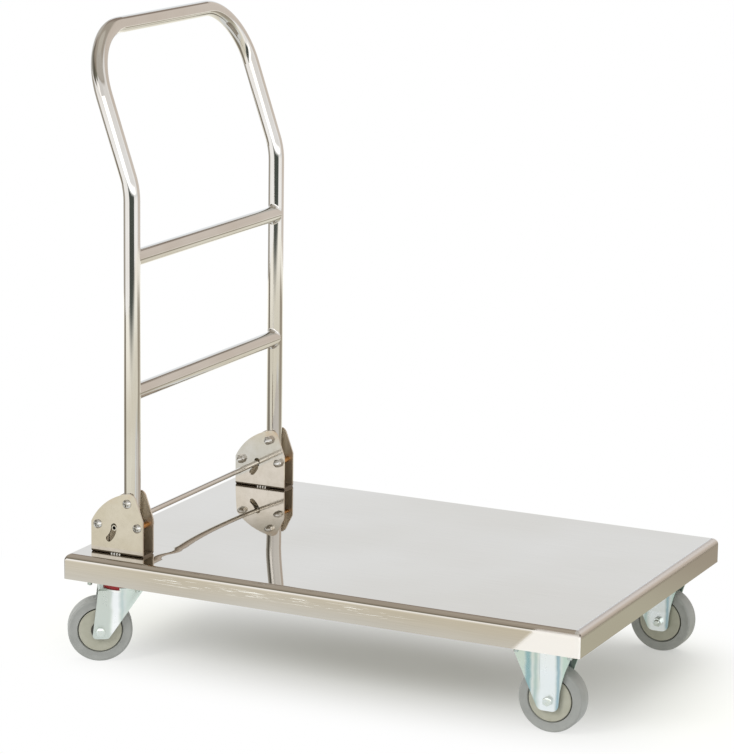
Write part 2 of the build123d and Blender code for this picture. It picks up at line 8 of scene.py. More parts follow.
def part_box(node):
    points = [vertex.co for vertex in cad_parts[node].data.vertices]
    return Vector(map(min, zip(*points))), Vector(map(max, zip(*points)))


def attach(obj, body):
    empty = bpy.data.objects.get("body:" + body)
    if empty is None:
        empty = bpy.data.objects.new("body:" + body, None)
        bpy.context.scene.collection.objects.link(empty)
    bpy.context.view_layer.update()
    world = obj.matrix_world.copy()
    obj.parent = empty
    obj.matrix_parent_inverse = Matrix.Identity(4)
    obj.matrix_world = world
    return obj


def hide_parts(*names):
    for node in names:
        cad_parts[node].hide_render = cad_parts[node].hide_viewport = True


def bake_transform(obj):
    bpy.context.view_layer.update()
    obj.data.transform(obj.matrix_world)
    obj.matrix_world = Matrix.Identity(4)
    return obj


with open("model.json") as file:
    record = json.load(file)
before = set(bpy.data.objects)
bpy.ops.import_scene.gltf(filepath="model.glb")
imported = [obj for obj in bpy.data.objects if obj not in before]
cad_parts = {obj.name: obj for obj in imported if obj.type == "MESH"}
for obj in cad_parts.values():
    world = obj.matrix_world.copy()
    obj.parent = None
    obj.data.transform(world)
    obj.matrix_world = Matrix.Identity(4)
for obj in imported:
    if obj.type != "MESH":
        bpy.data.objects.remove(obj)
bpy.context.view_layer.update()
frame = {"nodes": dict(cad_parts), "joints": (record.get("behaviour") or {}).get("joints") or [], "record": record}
nodes = frame["nodes"]
joints = {joint["name"]: joint for joint in frame["joints"]}
slots = {part["node"]: part["material_slot"] for part in frame["record"]["subparts"]}
scene = bpy.context.scene
scene.view_settings.view_transform = "Standard"
mm = 0.001
mergeMm = 0.001  # corners of a CAD mesh that lie closer than this are one
print("frame loaded:", len(nodes), "nodes")


def hexColour(code):
    channels = [int(code[i:i + 2], 16) / 255 for i in (1, 3, 5)]  # sRGB, taken to linear light below
    return (*[c / 12.92 if c <= 0.04045 else ((c + 0.055) / 1.055) ** 2.4 for c in channels], 1.0)


def litColour(code, glow):
    return (*[c * glow for c in hexColour(code)[:3]], 1.0)


def grey(level):
    return (level, level, level, 1.0)


def addNode(tree, kind, links=None, **settings):
    node = tree.nodes.new(kind)
    for name, value in settings.items():
        setattr(node, name, value)
    for key, value in (links or {}).items():
        if isinstance(value, bpy.types.Node):  # a node stands for the first of its outputs in use
            value = next(output for output in value.outputs if output.enabled)
        if isinstance(value, bpy.types.NodeSocket):
            tree.links.new(value, node.inputs[key])
        else:
            node.inputs[key].default_value = value
    return node


def paintLayers(tree, base, layers):
    for share, colour, limits in layers:  # a layer lies where all its limits are passed
        for value, start, end in limits:
            step = addNode(tree, "ShaderNodeMapRange", {0: value, 1: start, 2: end},
                           interpolation_type="SMOOTHSTEP")
            share = addNode(tree, "ShaderNodeMath", {0: share, 1: step}, operation="MULTIPLY")
        base = addNode(tree, "ShaderNodeMix", {0: share, 6: base, 7: colour}, data_type="RGBA")
    return base


def layersOf(rows, values):  # rows of colour, glow and limits, which name their values
    return [(1, litColour(code, glow), [(values[name], start, end) for name, start, end in limits])
            for code, glow, limits in rows]


def startMaterial(name):
    material = bpy.data.materials.new(name)
    material.use_nodes = True
    material.node_tree.nodes.clear()
    return material, material.node_tree


# camera at the photograph's place
cameraSetup = {
    "target": (-48.18, 0.0, 436.44),  # mm, the point in the middle of the picture
    "distance": 4977.6,
    "azimuth": 25.733,
    "elevation": 12.687,
    "roll": 0.813,
    "lens": 154.21,
    "sensor": 36,
    "clipEnd": 50,
}


def placeCamera(setup):
    azimuth, elevation, roll = (math.radians(setup[k]) for k in ("azimuth", "elevation", "roll"))
    level = math.cos(elevation)
    back = Vector((math.sin(azimuth) * level, -math.cos(azimuth) * level, math.sin(elevation)))
    right = Vector((math.cos(azimuth), math.sin(azimuth), 0))
    up = back.cross(right)
    rolledRight = right * math.cos(roll) + up * math.sin(roll)
    rolledUp = up * math.cos(roll) - right * math.sin(roll)
    camera = bpy.data.objects.new("photoCamera", bpy.data.cameras.new("photoCamera"))
    scene.collection.objects.link(camera)
    camera.data.lens = setup["lens"]
    camera.data.sensor_width = setup["sensor"]
    camera.data.clip_end = setup["clipEnd"]
    turn = Matrix((rolledRight, rolledUp, back)).transposed().to_4x4()
    place = (Vector(setup["target"]) + back * setup["distance"]) * mm
    camera.matrix_world = Matrix.Translation(place) @ turn
    scene.camera = camera


placeCamera(cameraSetup)
print("camera placed")

# white studio: world, lamps, floor
studio = {
    "lowLevel": 0.28,  # what the white room gives to matt surfaces, near the floor and from above
    "highLevel": 0.88,
    "levelHeights": (0.05, 0.6),  # z of the direction
    "backdrop": ("#F6FAFF", 1.08),  # colour and glow
    "lampSlope": -0.35,  # the upper edge of the lamps rises to the right
    "darkDirection": (0.47, -0.88, 0.0),  # "ahead" is counted along it
    # the walls, which only polished steel sees: colour, glow, and the directions between which each fades in
    "walls": [
        ("#FBFBFD", 1.3, [("x", 0.4, 0.6), ("y", 0.55, 0.25), ("z", -0.05, 0.02)]),  # right
        ("#FBFBFD", 1.45, [("y", 0.05, -0.2), ("z", -0.05, 0.02)]),  # front
        ("#FBFBFD", 2.3, [("y", 0.05, -0.2), ("z", -0.05, 0.02), ("x", -0.3, -0.15),
                          ("z", 0.36, 0.24)]),  # lamps
        ("#FBFBFD", 1.0, [("y", 0.05, -0.2), ("x", -0.25, -0.05), ("over", 0.05, 0.09)]),  # above the lamps
        ("#FBFBFD", 1.12, [("x", 0.5, 0.62), ("y", 0.3, 0.1), ("z", 0.08, 0.16)]),  # right of the lamps
        ("#8A8A7C", 1, [("x", -0.15, -0.3), ("y", -0.05, -0.2), ("z", 0.26, 0.36)]),  # left of the lamps
        ("#6E6A60", 1, [("x", -0.5, -0.68), ("y", 0.25, 0.05), ("z", 0.02, 0.12)]),  # left
        ("#ABA9A3", 1, [("x", -0.88, -0.95), ("z", 0.02, 0.12)]),  # left, straight past the handle
        ("#A89E92", 1, [("y", 0.05, -0.2), ("z", 0.46, 0.58)]),  # front, high up
        ("#ECE2DA", 1, [("x", -0.28, -0.12), ("y", 0.3, 0.6)]),  # behind, to the right
        ("#A0938A", 1, [("x", 0.12, -0.02), ("y", -0.05, 0.15), ("z", 0.43, 0.47)]),  # above the backdrop
        ("#C0B8AE", 1, [("z", 0.6, 0.8)]),  # ceiling
        ("#D2CEC8", 1, [("z", 0.52, 0.58), ("x", -0.36, -0.26), ("y", 0.05, -0.2)]),  # ceiling over the front
        ("#D2CEC8", 1, [("z", 0.1, 0.2), ("x", -0.5, -0.6), ("y", 0.1, 0.35)]),  # left, behind
        ("#DAD5CC", 1, [("z", 0.91, 0.96)]),  # straight up
        ("#FBFBFD", 1.35, [("z", -0.02, -0.1), ("y", 0.5, 0.3)]),  # below the horizon
        ("#BCB7AE", 1, [("x", -0.7, -0.85), ("y", -0.4, -0.2), ("z", 0.02, -0.06)]),  # left, low down
        ("#565C57", 1, [("ahead", 0.78, 0.87), ("z", -0.02, -0.08)]),  # past the edge of the floor
    ],
    # place, aim and size in m, then watts
    "lamps": {
        "topSoftbox": ((-0.4, 0.8, 3.1), (0, 0, 0), (2.8, 2.2), 44),
        "frontSoftbox": ((-1.6, -3.4, 2.8), (0, 0, 0.4), (1.4, 1.4), 42),
    },
}


def buildWorld(setup):
    world = bpy.data.worlds.new("whiteStudio")
    scene.world = world
    world.use_nodes = True
    tree = world.node_tree
    tree.nodes.clear()
    direction = addNode(tree, "ShaderNodeTexCoord").outputs["Generated"]
    x, y, z = addNode(tree, "ShaderNodeSeparateXYZ", {0: direction}).outputs
    ahead = addNode(tree, "ShaderNodeVectorMath", {
        0: direction, 1: Vector(setup["darkDirection"]).normalized()}, operation="DOT_PRODUCT")
    over = addNode(tree, "ShaderNodeMath", {0: x, 1: setup["lampSlope"], 2: z}, operation="MULTIPLY_ADD")
    room = paintLayers(tree, litColour(*setup["backdrop"]), layersOf(
        setup["walls"], {"x": x, "y": y, "z": z, "over": over, "ahead": ahead}))
    rays = addNode(tree, "ShaderNodeLightPath").outputs
    mirrored = addNode(tree, "ShaderNodeMath", {0: rays["Is Glossy Ray"], 1: rays["Is Transmission Ray"]},
                       operation="MAXIMUM")
    seen = addNode(tree, "ShaderNodeMath", {0: mirrored, 1: rays["Is Camera Ray"]}, operation="MAXIMUM")
    colour = addNode(tree, "ShaderNodeMix", {0: mirrored, 6: grey(1), 7: room}, data_type="RGBA")
    lowest, highest = setup["levelHeights"]
    given = addNode(tree, "ShaderNodeMapRange", {
        0: z, 1: lowest, 2: highest, 3: setup["lowLevel"], 4: setup["highLevel"]})
    level = addNode(tree, "ShaderNodeMapRange", {0: seen, 3: given, 4: 1.0})
    sky = addNode(tree, "ShaderNodeBackground", {"Color": colour, "Strength": level})
    addNode(tree, "ShaderNodeOutputWorld", {"Surface": sky})


def addSoftbox(name, place, aim, size, watts):
    lamp = bpy.data.lights.new(name, "AREA")
    lamp.shape = "RECTANGLE"
    lamp.size, lamp.size_y = size
    lamp.energy = watts
    box = bpy.data.objects.new(name, lamp)
    scene.collection.objects.link(box)
    box.location = place
    box.rotation_euler = (Vector(aim) - Vector(place)).to_track_quat("-Z", "Y").to_euler()
    box.visible_glossy = False  # the steel sees the walls instead


floorLook = {
    "radius": 3.1,
    "sides": 128,
    "sink": 0.4,  # mm below the wheels
    "washCentre": (0.04, -0.04, 0.0),
    "washScale": (1.3, 4.4, 0.0),  # per m, the oval in which the paper washes out to white
    "washFrom": 0.1,
    "washTo": 1.5,
    "mattGlow": 0.65,  # what the white paper gives to matt surfaces
    "lift": 0.16,  # light that the white paper throws back under the deck
    "poolPlace": (0.35, 0.16, 0.0),  # shade that stays by the far fixed wheel
    "poolReach": (0.05, 0.24),
    "poolShare": 0.55,
    "mirrorLift": 0.7,  # polished parts see little of the shade
    "paper": "#F4F5EC",
    "skirtPlace": (0.78, 0.55, 0.0),  # "aside" is counted from it
    "darkDirection": (0.36, -0.93, 0.0),  # "ahead" is counted along it, "slope" along the next
    "leftSlope": (-0.478, 1.0, 0.0),
    "nearMirror": "#EFE9D9",  # what polished steel sees of the paper close by
    # and elsewhere: colour, glow, and the places in m between which each fades in
    "mirrors": [
        ("#FFFCEF", 1, [("reach", 0.6, 1.5)]),  # farther off
        ("#FFFDF6", 1.3, [("reach", 1.8, 2.8)]),  # right under the lamps
        ("#F4F7F8", 1, [("across", 0.8, 0.62), ("reach", 1.5, 1.2)]),  # round the casters
        ("#CECCBB", 1, [("aside", 0.8, 0.45)]),  # past the load end
        ("#B7AEA0", 1, [("x", 0.15, 0.5), ("y", 0.35, 0.8), ("reach", 2.9, 2.3)]),  # behind, to the right
        ("#9A9387", 1, [("x", -0.75, -1.05), ("slope", -0.25, 0.05), ("y", 0.7, 0.3)]),  # left
        ("#565C57", 1, [("ahead", 1.9, 2.9)]),  # towards the camera
    ],
}


def buildFloor(look):
    bm = bmesh.new()
    bmesh.ops.create_circle(bm, cap_ends=True, segments=look["sides"], radius=look["radius"])
    bmesh.ops.translate(bm, verts=bm.verts, vec=(0, 0, -look["sink"] * mm))
    mesh = bpy.data.meshes.new("studioFloor")
    bm.to_mesh(mesh)
    bm.free()
    floor = bpy.data.objects.new("studioFloor", mesh)
    scene.collection.objects.link(floor)
    material, tree = startMaterial("floorPaper")
    place = addNode(tree, "ShaderNodeTexCoord").outputs["Object"]
    x, y = addNode(tree, "ShaderNodeSeparateXYZ", {0: place}).outputs[:2]
    across = addNode(tree, "ShaderNodeMath", {0: y}, operation="ABSOLUTE")
    reach = addNode(tree, "ShaderNodeVectorMath", {0: place}, operation="LENGTH")
    aside = addNode(tree, "ShaderNodeVectorMath", {0: place, 1: look["skirtPlace"]}, operation="DISTANCE")
    ahead = addNode(tree, "ShaderNodeVectorMath", {
        0: place, 1: Vector(look["darkDirection"]).normalized()}, operation="DOT_PRODUCT")
    slope = addNode(tree, "ShaderNodeVectorMath", {0: place, 1: look["leftSlope"]}, operation="DOT_PRODUCT")
    mirror = paintLayers(tree, hexColour(look["nearMirror"]), layersOf(look["mirrors"], {
        "x": x, "y": y, "across": across, "reach": reach, "aside": aside, "ahead": ahead, "slope": slope}))
    rays = addNode(tree, "ShaderNodeLightPath").outputs
    glossy = rays["Is Glossy Ray"]
    paper = addNode(tree, "ShaderNodeMix", {0: glossy, 6: hexColour(look["paper"]), 7: mirror},
                    data_type="RGBA")
    bright = addNode(tree, "ShaderNodeMix", {0: glossy, 6: grey(1), 7: mirror}, data_type="RGBA")
    matt = addNode(tree, "ShaderNodeBsdfDiffuse", {"Color": paper})
    level = addNode(tree, "ShaderNodeMapRange", {0: rays["Is Diffuse Ray"], 3: 1.0, 4: look["mattGlow"]})
    glow = addNode(tree, "ShaderNodeEmission", {"Color": bright, "Strength": level})
    oval = addNode(tree, "ShaderNodeVectorMath", {0: place, 1: look["washCentre"]}, operation="SUBTRACT")
    oval = addNode(tree, "ShaderNodeVectorMath", {0: oval, 1: look["washScale"]}, operation="MULTIPLY")
    oval = addNode(tree, "ShaderNodeVectorMath", {0: oval}, operation="LENGTH")
    washed = addNode(tree, "ShaderNodeMapRange", {
        0: oval, 1: look["washFrom"], 2: look["washTo"], 3: look["lift"]}, interpolation_type="SMOOTHSTEP")
    pool = addNode(tree, "ShaderNodeVectorMath", {0: place, 1: look["poolPlace"]}, operation="DISTANCE")
    pool = addNode(tree, "ShaderNodeMapRange", {
        0: pool, 1: look["poolReach"][0], 2: look["poolReach"][1], 3: 1 - look["poolShare"]},
        interpolation_type="SMOOTHSTEP")
    washed = addNode(tree, "ShaderNodeMath", {0: washed, 1: pool}, operation="MULTIPLY")
    lifted = addNode(tree, "ShaderNodeMath", {0: glossy, 1: look["mirrorLift"]}, operation="MULTIPLY")
    washed = addNode(tree, "ShaderNodeMath", {0: washed, 1: lifted}, operation="MAXIMUM")
    mix = addNode(tree, "ShaderNodeMixShader", {0: washed, 1: matt, 2: glow})
    addNode(tree, "ShaderNodeOutputMaterial", {"Surface": mix})
    mesh.materials.append(material)


buildWorld(studio)
for lampName, lampSetup in studio["lamps"].items():
    addSoftbox(lampName, *lampSetup)
buildFloor(floorLook)
print("studio built")

# how the lines of a metal come out of the noise
metalGrain = {"detail": 4.0, "breakUp": 0.65, "driftDetail": 2.0, "drift": (0.35, 0.65), "worn": (0.4, 0.75),
              "polish": (0.3, 0.7), "depthMm": 0.02}


def metal(name, look, finish=None):
    material, tree = startMaterial(name)
    place = addNode(tree, "ShaderNodeTexCoord").outputs["Object"]
    scale = [1 / (size * mm) for size in look["lineMm"]]
    lines = addNode(tree, "ShaderNodeMapping", {"Vector": place, "Scale": scale})
    grain = addNode(tree, "ShaderNodeTexNoise", {
        "Vector": lines, "Scale": 1.0, "Detail": metalGrain["detail"], "Roughness": metalGrain["breakUp"]})
    drift = addNode(tree, "ShaderNodeTexNoise", {
        "Vector": place, "Scale": 1 / (look["driftMm"] * mm), "Detail": metalGrain["driftDetail"]})
    shift = addNode(tree, "ShaderNodeMapRange", dict(enumerate((drift, *metalGrain["drift"]))))
    base = addNode(tree, "ShaderNodeMix", {
        0: shift, 6: hexColour(look["light"]), 7: hexColour(look["warm"])}, data_type="RGBA")
    worn = addNode(tree, "ShaderNodeMapRange", dict(enumerate(
        (grain, *metalGrain["worn"], 0.0, look["lineDepth"]))))
    colour = addNode(tree, "ShaderNodeMix", {0: worn, 6: base, 7: hexColour(look["dark"])}, data_type="RGBA")
    rough = addNode(tree, "ShaderNodeMapRange", dict(enumerate(
        (grain, *metalGrain["polish"], *look["rough"]))))
    normal = addNode(tree, "ShaderNodeBump", {
        "Height": grain, "Strength": look["bump"], "Distance": metalGrain["depthMm"] * mm})
    if finish:
        colour, rough, normal = finish(tree, place, colour, rough, normal)
    shader = addNode(tree, "ShaderNodeBsdfPrincipled", {
        "Base Color": colour, "Metallic": 1.0, "Roughness": rough, "Normal": normal})
    addNode(tree, "ShaderNodeOutputMaterial", {"Surface": shader})
    return material


# marks on the deck's sheet, in mm; a pair runs from where a mark begins to where it is full
sheetMarks = {
    "waveMm": 180,  # the sheet is not quite flat
    "waveDepth": 0.3,
    "swells": [(100, -267, 300, 3.3), (-285, -210, 34, 0.35), (-239, 113, 280, 5.0)],  # x, y, reach, height
    "nearSkirt": (3.0, 1.0),  # in from its face
    "scuff": "#FAF7F0",  # dashes where the trolley was dragged along
    "scuffRough": 0.5,
    "scuffMm": (40, 3, 1.2),
    "scuffDetail": 3.0,
    "scuffLevels": (0.57, 0.63),
    "scuffHeights": (148.0, 163.0),
    "scuffFade": 4.0,
    "scuffRun": (-290.0, 190.0),
    "scuffEnds": (60.0, 90.0),
    "cornerReach": 84.0,  # of the skirt's end: a painted reflection, a pale patch with a slanted edge
    "cornerSlant": -1.0,
    "cornerFade": 6.0,
    "corner": "#F9F5F0",
    "cornerRough": 0.5,
    "bend": "#8F877B",  # the bend of the load end: painted highlight on top, painted shade below
    "bendPaintedShadeShare": 0.3,
    "bendPaintedHighlight": "#EDF2F8",
    "bendPaintedHighlightShare": 0.55,
    "bendRough": 0.3,
    "bendEdge": (11.0, 9.0),  # in from the end face
    "bendDrop": (12.0, 9.0),  # below the deck's top, as the next two
    "bendHigh": (5.0, 2.0),
    "bendLow": (4.0, 7.0),
    "seam": "#4A423B",  # the open end of the corner weld
    "seamSize": (3.5, 8.0),
    "seamDepth": (6.0, 4.0),
}


def sheetFinish(tree, place, colour, rough, normal):
    marks = sheetMarks
    low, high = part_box("deck_pan")
    x, y, z = addNode(tree, "ShaderNodeSeparateXYZ", {0: place}).outputs

    def fade(value, edge, pair):
        start, end = pair
        return value, edge + start * mm, edge + end * mm

    def below(pair):
        return fade(z, high.z, [-drop for drop in pair])

    wave = addNode(tree, "ShaderNodeTexNoise", {
        "Vector": place, "Scale": 1 / (marks["waveMm"] * mm), "Detail": 0.0})
    normal = addNode(tree, "ShaderNodeBump", {
        "Height": wave, "Distance": marks["waveDepth"] * mm, "Normal": normal})
    for swellX, swellY, reach, height in marks["swells"]:
        off = addNode(tree, "ShaderNodeVectorMath", {0: place, 1: (swellX * mm, swellY * mm, high.z)},
                      operation="DISTANCE")
        rise = addNode(tree, "ShaderNodeMapRange", {0: off, 1: reach * mm, 2: 0.0},
                       interpolation_type="SMOOTHSTEP")
        normal = addNode(tree, "ShaderNodeBump", {"Height": rise, "Distance": height * mm, "Normal": normal})
    dashes = addNode(tree, "ShaderNodeMapping", {
        "Vector": place, "Scale": [1 / (size * mm) for size in marks["scuffMm"]]})
    dashes = addNode(tree, "ShaderNodeTexNoise", {
        "Vector": dashes, "Scale": 1.0, "Detail": marks["scuffDetail"]})
    slant = addNode(tree, "ShaderNodeMath", {0: z, 1: marks["cornerSlant"], 2: x}, operation="MULTIPLY_ADD")
    cornerFrom = high.x - marks["cornerReach"] * mm + marks["cornerSlant"] * (high.z + low.z) / 2
    lowest, highest = (height * mm for height in marks["scuffHeights"])
    start, end = (run * mm for run in marks["scuffRun"])
    startFade, endFade = marks["scuffEnds"]
    wide, tall = (size * mm for size in marks["seamSize"])
    nearSkirt = fade(y, low.y, marks["nearSkirt"])
    corner = [nearSkirt, fade(slant, cornerFrom, (-marks["cornerFade"], marks["cornerFade"]))]
    scuffs = [nearSkirt, fade(z, lowest, (0, marks["scuffFade"])), fade(z, highest, (0, -marks["scuffFade"])),
              fade(x, start, (0, startFade)), fade(x, end, (0, -endFade)), (dashes, *marks["scuffLevels"])]
    seam = [fade(y, low.y, marks["seamDepth"]), (x, high.x - wide, high.x - wide / 2),
            (z, high.z - tall, high.z - tall / 2)]
    bend = [fade(x, high.x, [-inset for inset in marks["bendEdge"]]), below(marks["bendDrop"])]
    highBendHighlight = [*bend, below(marks["bendHigh"])]
    lowBendShade = [*bend, below(marks["bendLow"])]
    colour = paintLayers(tree, colour, [
        # painted shade low on the load end's bend, then a painted highlight on its top
        (marks["bendPaintedShadeShare"], hexColour(marks["bend"]), lowBendShade),
        (marks["bendPaintedHighlightShare"], hexColour(marks["bendPaintedHighlight"]), highBendHighlight),
        # painted reflection: the pale patch at the near skirt's load end
        (1, hexColour(marks["corner"]), corner),
        (1, hexColour(marks["scuff"]), scuffs),
        (1, hexColour(marks["seam"]), seam),
    ])
    rough = paintLayers(tree, rough, [
        (1, grey(marks["bendRough"]), bend),
        (1, grey(marks["cornerRough"]), corner),
        (1, grey(marks["scuffRough"]), scuffs),
    ])
    return colour, rough, normal


bracketMarks = {
    "heat": "#C79A63",  # straw colour left by welding, near the top
    "heatShare": 0.4,
    "heatHeights": (250.0, 274.0),
    "cloudMm": 22,
    "cloudLevels": (0.35, 0.6),
    "inside": "#CFC3AE",  # never polished between the cheeks
    "insideRough": 0.5,
    "insideReach": 14.3,
    "insideFade": 0.3,
    "foot": "#5A5046",  # painted shade in the corner above the deck
    "footShadeShare": 0.75,
    "footShadeHeight": 4.5,
}


def bracketFinish(tree, place, colour, rough, normal):
    marks = bracketMarks
    low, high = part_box("far_bracket")
    y, z = addNode(tree, "ShaderNodeSeparateXYZ", {0: place}).outputs[1:]
    side = addNode(tree, "ShaderNodeMath", {0: y}, operation="ABSOLUTE")
    off = addNode(tree, "ShaderNodeMath", {0: side, 1: (low.y + high.y) / 2}, operation="SUBTRACT")
    off = addNode(tree, "ShaderNodeMath", {0: off}, operation="ABSOLUTE")
    cloud = addNode(tree, "ShaderNodeTexNoise", {"Vector": place, "Scale": 1 / (marks["cloudMm"] * mm)})
    inside = [(off, (marks["insideReach"] + marks["insideFade"]) * mm, marks["insideReach"] * mm)]
    heated = [(z, *(height * mm for height in marks["heatHeights"])), (cloud, *marks["cloudLevels"])]
    foot = [(z, low.z + marks["footShadeHeight"] * mm, low.z + marks["footShadeHeight"] * mm / 2)]
    colour = paintLayers(tree, colour, [
        (marks["heatShare"], hexColour(marks["heat"]), heated),
        (1, hexColour(marks["inside"]), inside),
        # painted shade along the foot, darker towards the deck
        (marks["footShadeShare"], hexColour(marks["foot"]), foot),
    ])
    rough = paintLayers(tree, rough, [(1, grey(marks["insideRough"]), inside)])
    return colour, rough, normal


# painted reflections in bands down the pressings: pale bands for highlights, blue-green bands for the shade the
# flutes mirror: mm along the fork from its axle, colour, share
forkPaintedReflections = {
    "waverMm": 20,
    "waverDetail": 2.0,
    "waver": 6,
    "fade": 6,
    "fixed": [(-70, -37, "#C6D6C8", 0.7), (-37, -28, "#86AEB2", 0.85), (-23, -18, "#A3BDB6", 0.7),
              (-14, 11, "#F3F7F8", 0.8), (13, 17, "#7FA8B8", 0.85), (21, 70, "#BBD3C6", 0.7)],
    "swivel": [(-30, 15, "#C9D0C9", 0.9), (18, 29, "#FBFCFC", 0.95), (32, 35, "#A6C2C0", 0.5),
               (39, 70, "#D3E0D6", 0.6)],
}


# paints the fork's reflections and shade as colour bands along the fork
def paintedReflectionFinish(roll, along, kind):
    axle = Vector(joints[roll]["pos_m"])
    reflectionBands = forkPaintedReflections

    def finish(tree, place, colour, rough, normal):
        reach = addNode(tree, "ShaderNodeVectorMath", {0: place, 1: along}, operation="DOT_PRODUCT")
        reach = addNode(tree, "ShaderNodeMath", {0: reach, 1: axle.dot(along)}, operation="SUBTRACT")
        waver = addNode(tree, "ShaderNodeTexNoise", {
            "Vector": place, "Scale": 1 / (reflectionBands["waverMm"] * mm), "Detail": reflectionBands["waverDetail"]})
        reach = addNode(tree, "ShaderNodeMath", {0: waver, 1: reflectionBands["waver"] * mm, 2: reach},
                        operation="MULTIPLY_ADD")
        layers = []
        # each band is a painted highlight or painted shade of the pressed flutes
        for start, end, code, share in reflectionBands[kind]:
            limits = [(reach, start * mm, (start + reflectionBands["fade"]) * mm),
                      (reach, (end + reflectionBands["fade"]) * mm, end * mm)]
            layers.append((share, hexColour(code), limits))
        return paintLayers(tree, colour, layers), rough, normal
    return finish


# how the tooth of a moulding comes out of the noise
mouldGrain = {"cloudDetail": 3.0, "fineDetail": 2.0, "cloud": (0.3, 0.7), "polish": (0.3, 0.7),
              "depthMm": 0.05}


def moulded(name, look):
    material, tree = startMaterial(name)
    place = addNode(tree, "ShaderNodeTexCoord").outputs["Object"]
    cloud = addNode(tree, "ShaderNodeTexNoise", {
        "Vector": place, "Scale": 1 / (look["cloudMm"] * mm), "Detail": mouldGrain["cloudDetail"]})
    fine = addNode(tree, "ShaderNodeTexNoise", {
        "Vector": place, "Scale": 1 / (look["grainMm"] * mm), "Detail": mouldGrain["fineDetail"]})
    shift = addNode(tree, "ShaderNodeMapRange", dict(enumerate((cloud, *mouldGrain["cloud"]))))
    base = addNode(tree, "ShaderNodeMix", {
        0: shift, 6: hexColour(look["light"]), 7: hexColour(look["dark"])}, data_type="RGBA")
    rough = addNode(tree, "ShaderNodeMapRange", dict(enumerate(
        (fine, *mouldGrain["polish"], *look["rough"]))))
    normal = addNode(tree, "ShaderNodeBump", {
        "Height": fine, "Strength": look["bump"], "Distance": mouldGrain["depthMm"] * mm})
    shader = addNode(tree, "ShaderNodeBsdfPrincipled", {
        "Base Color": base, "Roughness": rough, "IOR": look["ior"], "Normal": normal})
    addNode(tree, "ShaderNodeOutputMaterial", {"Surface": shader})
    return material


# polished 304 sheet for the deck: a near mirror with faint lines along the sheet, drawn 1.5 mm wide to show
deckSteel = {"light": "#D2CDC5", "warm": "#CCC6BC", "dark": "#AEA89E", "lineMm": (90, 1.5, 1.5),
             "driftMm": 320, "lineDepth": 0.2, "rough": (0.015, 0.045), "bump": 0.02}
# polished 304 tube: drawn lines along the legs, coarser than the real ones
tubeSteel = {"light": "#D6D4CF", "warm": "#CFCBC4", "dark": "#B0ABA2", "lineMm": (1.2, 1.2, 70),
             "driftMm": 120, "lineDepth": 0.2, "rough": (0.04, 0.08), "bump": 0.02}
# the same tube lying across, its lines along the rung
rungSteel = {**tubeSteel, "lineMm": (1.2, 70, 1.2)}
# polished 304 plate, folded: soft mirror for the brackets
bracketSteel = {"light": "#D7D2C9", "warm": "#CFC9BD", "dark": "#B4AD9F", "lineMm": (12, 12, 12),
                "driftMm": 60, "lineDepth": 0.25, "rough": (0.06, 0.12), "bump": 0.02}
# 304 as it left the rolling mill: satin and greyer, its lines drawn 1.5 mm wide to show
millSteel = {"light": "#B9B7B1", "warm": "#B1AEA6", "dark": "#8F8C85", "lineMm": (40, 1.5, 1.5),
             "driftMm": 90, "lineDepth": 0.5, "rough": (0.3, 0.42), "bump": 0.06}
# stainless screws: cold formed, tumbled bright
screwSteel = {"light": "#DADAD8", "warm": "#D0CDC6", "dark": "#A5A29B", "lineMm": (2, 2, 2),
              "driftMm": 14, "lineDepth": 0.3, "rough": (0.16, 0.24), "bump": 0.04}
# bright zinc plate with blue passivation: pale, drifting from blue to straw
zincPlate = {"light": "#DDE3E0", "warm": "#DDE2D8", "dark": "#C0CFD0", "lineMm": (14, 14, 30),
             "driftMm": 34, "lineDepth": 0.35, "rough": (0.26, 0.34), "bump": 0.02}
# the same plate on small turned and forged parts
zincBolt = {**zincPlate, "lineMm": (3, 3, 3), "driftMm": 9, "rough": (0.14, 0.24)}
# free-cutting steel from the lathe: rings round the axis, drawn 0.8 mm apart to show
turnedSteel = {"light": "#B9B6AF", "warm": "#B0ABA0", "dark": "#85817A", "lineMm": (6, 0.8, 6),
               "driftMm": 20, "lineDepth": 0.4, "rough": (0.2, 0.3), "bump": 0.05}
# oil tempered spring wire: grey and slightly dull
springSteel = {"light": "#8F8D88", "warm": "#86837C", "dark": "#5F5D58", "lineMm": (2, 2, 2),
               "driftMm": 10, "lineDepth": 0.4, "rough": (0.22, 0.32), "bump": 0.05}
# ground and lapped bearing balls: almost a mirror
ballSteel = {"light": "#D2D2D0", "warm": "#CBC9C4", "dark": "#A9A8A4", "lineMm": (4, 4, 4),
             "driftMm": 8, "lineDepth": 0.2, "rough": (0.05, 0.1), "bump": 0.01}
# turned brass sleeve, a little tarnished
brassSleeve = {"light": "#C4935A", "warm": "#B58049", "dark": "#7F5730", "lineMm": (5, 0.8, 5),
               "driftMm": 12, "lineDepth": 0.4, "rough": (0.2, 0.3), "bump": 0.05}
# grey thermoplastic rubber, moulded: satin with a fine tooth
tyreRubber = {"light": "#B6B8B3", "dark": "#ABADA8", "cloudMm": 18, "grainMm": 1.2,
              "rough": (0.36, 0.48), "bump": 0.2, "ior": 1.52}
# moulded nylon guard discs, warm grey
discNylon = {"light": "#C9C8B6", "dark": "#BDBCA8", "cloudMm": 14, "grainMm": 1.4,
             "rough": (0.4, 0.52), "bump": 0.15, "ior": 1.53}
# moulded nylon rim, dark grey: painted shade, since it shows only at the bottom of the groove inside the tyre's
# lip
rimNylonPaintedShade = {"light": "#45433B", "dark": "#3A382F", "cloudMm": 14, "grainMm": 1.4,
            "rough": (0.42, 0.55), "bump": 0.15, "ior": 1.53}
# natural nylon bush, moulded
bushNylon = {"light": "#DAD8CC", "dark": "#CFCCBD", "cloudMm": 10, "grainMm": 1.0,
             "rough": (0.35, 0.45), "bump": 0.1, "ior": 1.53}
# moulded red dust seal
sealPlastic = {"light": "#C4282B", "dark": "#A81E22", "cloudMm": 12, "grainMm": 0.9,
               "rough": (0.3, 0.42), "bump": 0.12, "ior": 1.5}

